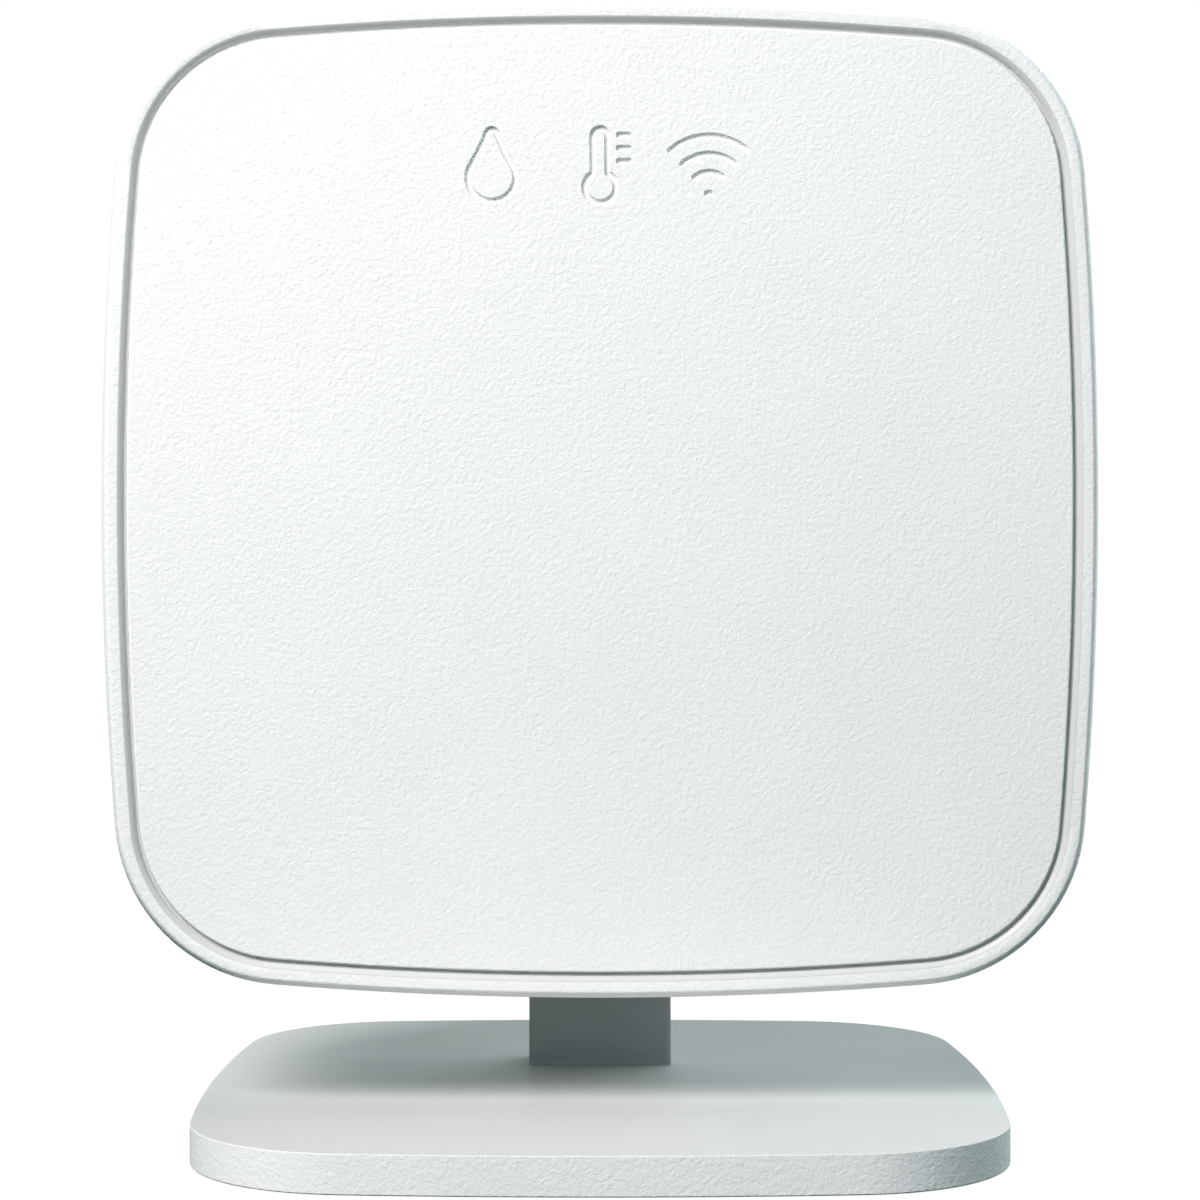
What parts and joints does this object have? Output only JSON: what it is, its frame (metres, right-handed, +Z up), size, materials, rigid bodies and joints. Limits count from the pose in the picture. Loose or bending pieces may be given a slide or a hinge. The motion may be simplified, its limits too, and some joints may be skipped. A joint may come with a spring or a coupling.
{
  "type": "wireless room climate sensor on table stand",
  "caption": "Square battery-powered room temperature and humidity sensor that hangs on the upright neck of a flat table stand.",
  "frame": {"origin": "centre of the stand's underside, on the surface it stands on", "axes": "+Z up, -Y out of the sensor's front, +X to the right seen from the front"},
  "size_m": [0.0616, 0.05, 0.0706],
  "materials": {
    "white_plastic": "fine moulded grain",
    "grey_rubber": "matte",
    "steel": "zinc plated",
    "nickel": "nickel plated",
    "board_green": "solder mask",
    "chip_black": "matte",
    "grey_plastic": "matte",
    "black_foam": "open-cell foam",
    "clear_plastic": "clear",
    "cell_sleeve": "printed sleeve, no text"
  },
  "bodies": {
    "stand": {"stand_base": "white_plastic", "stand_neck": "white_plastic", "base_pad": "grey_rubber", "stand_screw_left": "steel", "stand_screw_right": "steel"},
    "sensor": {"front_cover": "white_plastic", "rear_housing": "white_plastic", "circuit_board": "board_green", "board_screw_left": "steel", "board_screw_right": "steel", "board_screw_top": "steel", "microcontroller": "chip_black", "quartz_crystal": "steel", "power_inductor": "chip_black", "reservoir_capacitor": "steel", "radio_board": "board_green", "radio_shield": "steel", "antenna": "steel", "climate_sensor": "chip_black", "climate_foam": "black_foam", "status_led": "clear_plastic", "light_pipe": "clear_plastic", "switch_body": "chip_black", "battery_upper": "cell_sleeve", "battery_lower": "cell_sleeve", "positive_contact": "nickel", "negative_contact": "nickel", "bridge_contact": "nickel", "negative_spring": "nickel", "bridge_spring": "nickel"},
    "door": {"battery_door": "white_plastic", "door_foam": "black_foam"},
    "button": {"pairing_button": "white_plastic"},
    "plunger": {"switch_plunger": "grey_plastic"}
  },
  "joints": [
    {"name": "sensor_lift", "type": "slide", "parent": "stand", "child": "sensor", "axis": [0, 0, 1], "range_m": [0, 0.03]},
    {"name": "door_hinge", "type": "hinge", "parent": "sensor", "child": "door", "pos_m": [0, 0.0044, 0.04], "axis": [-1, 0, 0], "range_deg": [0, 80]},
    {"name": "button_press", "type": "slide", "parent": "sensor", "child": "button", "axis": [0, -1, 0], "range_m": [0, 0.0004], "stiffness_N_per_m": 2500},
    {"name": "plunger_press", "type": "slide", "parent": "sensor", "child": "plunger", "axis": [0, -1, 0], "range_m": [0, 0.0004]}
  ],
  "couplings": [
    {"joint": "plunger_press", "follows": "button_press", "ratio": 1}
  ]
}
